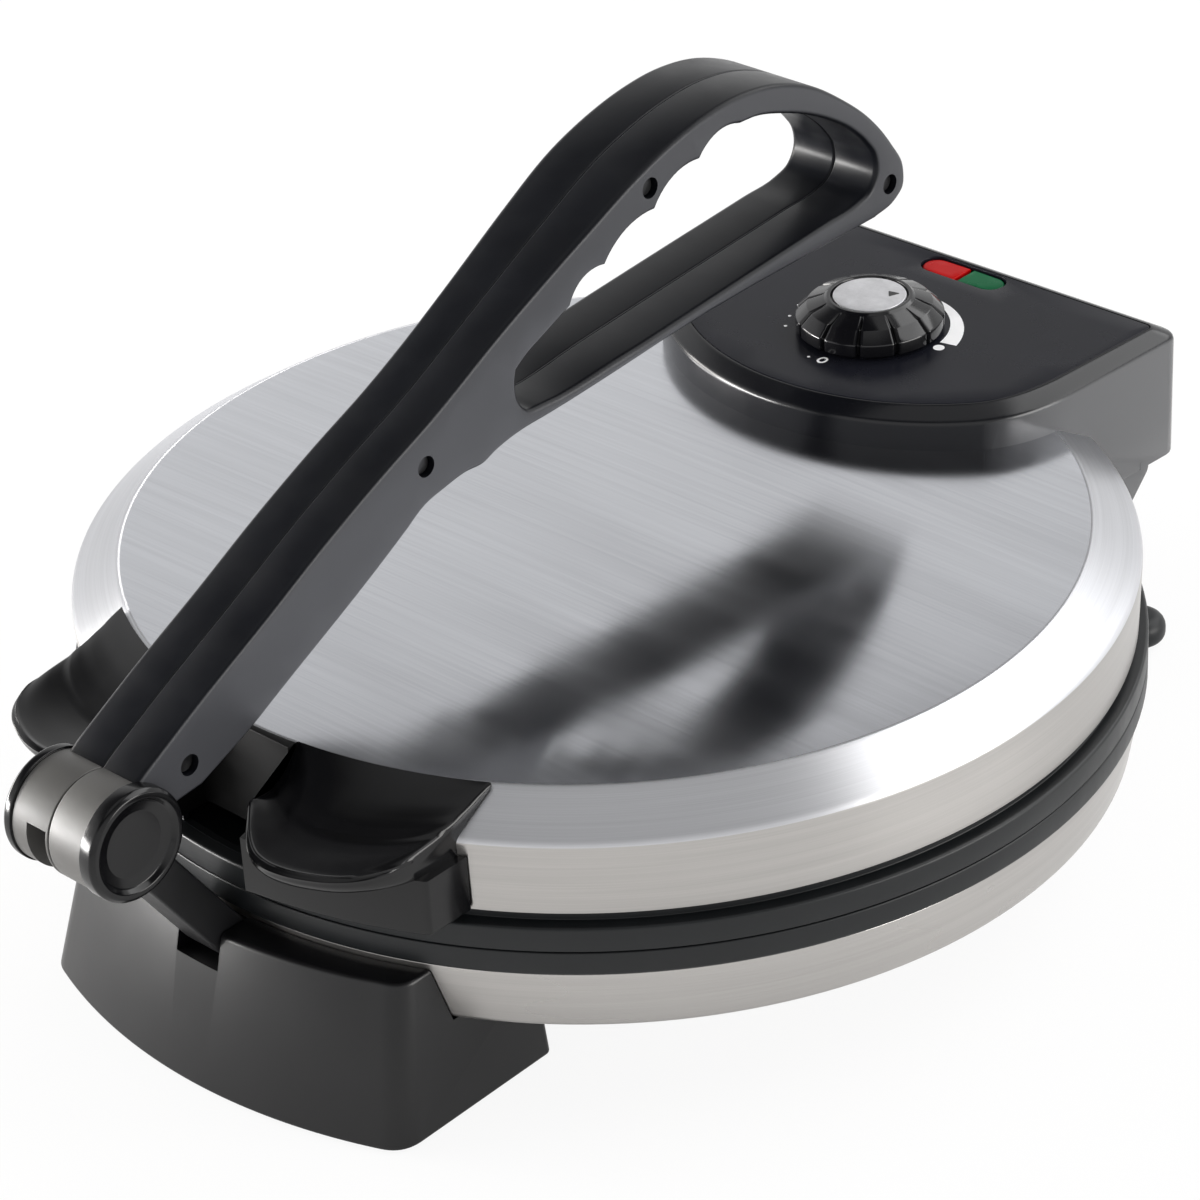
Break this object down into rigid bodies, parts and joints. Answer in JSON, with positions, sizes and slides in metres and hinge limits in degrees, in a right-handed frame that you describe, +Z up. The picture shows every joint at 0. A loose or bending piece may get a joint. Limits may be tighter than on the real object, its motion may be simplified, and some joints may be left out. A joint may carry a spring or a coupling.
{
  "type": "electric roti maker",
  "caption": "Electric flatbread press with round heated plates in steel shells, a rear-hinged lid, a long press lever with a looped grip and a rear thermostat housing.",
  "frame": {"origin": "On the table under the middle of the box around the closed part.", "axes": "+X to the right of someone who faces the lever's barrel, +Y to the rear hinge and controls, +Z up."},
  "size_m": [0.304, 0.3786, 0.2109],
  "materials": {
    "shell": "brushed",
    "ring": "satin",
    "plate": "dark non-stick coating",
    "heater": "dull",
    "hardware": "bright",
    "front_foot": "gloss",
    "rear_foot": "satin",
    "rubber": "matt",
    "grip": "gloss",
    "housing": "satin",
    "panel": "satin",
    "red_lens": "gloss, translucent in the real one",
    "green_lens": "gloss, translucent in the real one",
    "lamp": "clear",
    "knob": "gloss",
    "knob_cap": "satin",
    "link": "satin",
    "lever": "satin, finely textured sides"
  },
  "bodies": {
    "base": {"lower_shell": "shell", "bottom_cover": "heater", "cover_screw_1": "hardware", "cover_screw_2": "hardware", "cover_screw_3": "hardware", "cover_screw_4": "hardware", "base_ring": "ring", "lower_plate": "plate", "lower_heater": "heater", "front_foot": "front_foot", "rear_foot": "rear_foot", "rubber_pad_front_left": "rubber", "rubber_pad_front_right": "rubber", "rubber_pad_rear_left": "rubber", "rubber_pad_rear_right": "rubber", "link_pin": "hardware", "hinge_pin": "hardware", "cord_gland": "rubber"},
    "lid": {"upper_shell": "shell", "lid_ring": "ring", "upper_plate": "plate", "upper_heater": "heater", "front_grip": "grip", "control_housing": "housing", "control_panel": "panel", "thermostat": "heater", "power_lens": "red_lens", "ready_lens": "green_lens", "power_lamp": "lamp", "ready_lamp": "lamp"},
    "knob": {"control_shaft": "hardware", "control_knob": "knob", "knob_cap": "knob_cap"},
    "link": {"front_link": "link", "lever_pin": "hardware"},
    "lever": {"lever_left": "lever", "lever_right": "lever", "barrel_cap_left": "grip", "barrel_cap_right": "grip", "lever_screw_1": "hardware", "lever_screw_2": "hardware", "lever_screw_3": "hardware", "lever_screw_4": "hardware"}
  },
  "joints": [
    {"name": "link_fold", "type": "hinge", "parent": "base", "child": "link", "pos_m": [0, -0.13873, 0.0415], "axis": [1, 0, 0], "range_deg": [0, 60]},
    {"name": "lever_fold", "type": "hinge", "parent": "link", "child": "lever", "pos_m": [0, -0.17373, 0.0934], "axis": [1, 0, 0], "range_deg": [0, 98]},
    {"name": "lid_hinge", "type": "hinge", "parent": "base", "child": "lid", "pos_m": [0, 0.17827, 0.055], "axis": [-1, 0, 0], "range_deg": [0, 72]},
    {"name": "knob_turn", "type": "hinge", "parent": "lid", "child": "knob", "pos_m": [0.0025, 0.13227, 0.11], "axis": [0, 0, 1], "range_deg": [-40, 231]}
  ],
  "couplings": [
    {"joint": "lever_fold", "follows": "link_fold", "ratio": 1.6333},
    {"joint": "lid_hinge", "follows": "link_fold", "ratio": 1.2}
  ]
}
